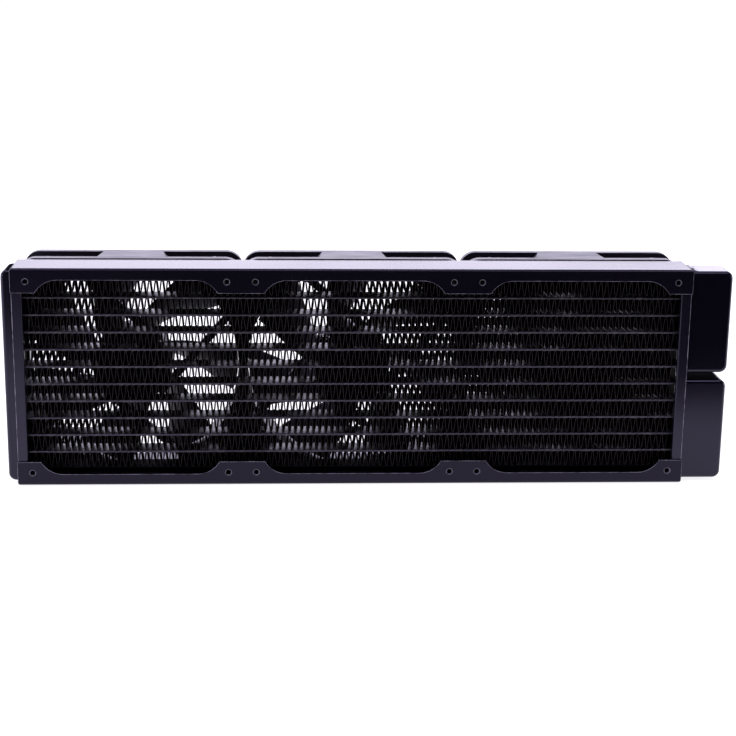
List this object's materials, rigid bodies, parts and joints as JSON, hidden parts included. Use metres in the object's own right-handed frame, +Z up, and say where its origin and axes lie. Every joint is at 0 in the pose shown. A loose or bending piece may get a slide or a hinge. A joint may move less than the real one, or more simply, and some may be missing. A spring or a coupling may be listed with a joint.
{
  "type": "liquid cooling radiator",
  "caption": "Long flat radiator for computer liquid cooling: brazed tube and fin core in a sheet-metal casing, split end tanks with threaded ports, and push fans on the rear face.",
  "frame": {"origin": "centre of the middle screw-hole pattern, on the open front face of the casing", "axes": "+X along the length towards the inlet and outlet tanks, +Z up, +Y from the open face towards the fans"},
  "size_m": [0.389, 0.0539, 0.1198],
  "materials": {
    "rail_paint": "satin black powder coat",
    "strip_paint": "satin black powder coat",
    "core_paint": "matt black paint",
    "tank_paint": "satin black powder coat",
    "port_paint": "satin black powder coat over brass",
    "tube_paint": "thin black paint over brass",
    "fin_paint": "thin black paint over copper",
    "frame_plastic": "fine spark-eroded texture",
    "blade_plastic": "satin moulded",
    "yoke_steel": "drawn and zinc plated",
    "magnet_ferrite": "bonded ferrite",
    "shaft_steel": "ground",
    "core_steel": "laminated sheet",
    "board_laminate": "solder mask",
    "bearing_bronze": "sintered",
    "copper_wire": "enamelled copper wire",
    "screw_finish": "black zinc"
  },
  "bodies": {
    "radiator": {"top_rail": "rail_paint", "bottom_rail": "rail_paint", "left_front_strip": "strip_paint", "left_rear_strip": "strip_paint", "right_front_strip": "strip_paint", "right_rear_strip": "strip_paint", "left_header_plate": "core_paint", "right_header_plate": "core_paint", "upper_side_plate": "core_paint", "lower_side_plate": "core_paint", "return_tank": "tank_paint", "inlet_tank": "tank_paint", "outlet_tank": "tank_paint", "inlet_port": "port_paint", "outlet_port": "port_paint", "flat_tube_1": "tube_paint", "flat_tube_2": "tube_paint", "flat_tube_3": "tube_paint", "flat_tube_4": "tube_paint", "flat_tube_5": "tube_paint", "flat_tube_6": "tube_paint", "flat_tube_7": "tube_paint", "flat_tube_8": "tube_paint", "flat_tube_9": "tube_paint", "flat_tube_10": "tube_paint", "fin_strip_1": "fin_paint", "fin_strip_2": "fin_paint", "fin_strip_3": "fin_paint", "fin_strip_4": "fin_paint", "fin_strip_5": "fin_paint", "fin_strip_6": "fin_paint", "fin_strip_7": "fin_paint", "fin_strip_8": "fin_paint", "fin_strip_9": "fin_paint", "fin_strip_10": "fin_paint", "fin_strip_11": "fin_paint", "left_fan_frame": "frame_plastic", "left_fan_stator": "core_steel", "left_fan_circuit_board": "board_laminate", "middle_fan_frame": "frame_plastic", "middle_fan_stator": "core_steel", "middle_fan_circuit_board": "board_laminate", "right_fan_frame": "frame_plastic", "right_fan_stator": "core_steel", "right_fan_circuit_board": "board_laminate", "fan_bearings": "bearing_bronze", "fan_windings": "copper_wire", "fan_screws": "screw_finish"},
    "left_rotor": {"left_fan_impeller": "blade_plastic", "left_fan_yoke": "yoke_steel", "left_fan_magnet": "magnet_ferrite", "left_fan_shaft": "shaft_steel"},
    "middle_rotor": {"middle_fan_impeller": "blade_plastic", "middle_fan_yoke": "yoke_steel", "middle_fan_magnet": "magnet_ferrite", "middle_fan_shaft": "shaft_steel"},
    "right_rotor": {"right_fan_impeller": "blade_plastic", "right_fan_yoke": "yoke_steel", "right_fan_magnet": "magnet_ferrite", "right_fan_shaft": "shaft_steel"}
  },
  "joints": [
    {"name": "left_fan_spin", "type": "hinge", "parent": "radiator", "child": "left_rotor", "pos_m": [-0.12, 0, 0], "axis": [0, 1, 0], "continuous": true},
    {"name": "middle_fan_spin", "type": "hinge", "parent": "radiator", "child": "middle_rotor", "pos_m": [0, 0, 0], "axis": [0, 1, 0], "continuous": true},
    {"name": "right_fan_spin", "type": "hinge", "parent": "radiator", "child": "right_rotor", "pos_m": [0.12, 0, 0], "axis": [0, 1, 0], "continuous": true}
  ]
}
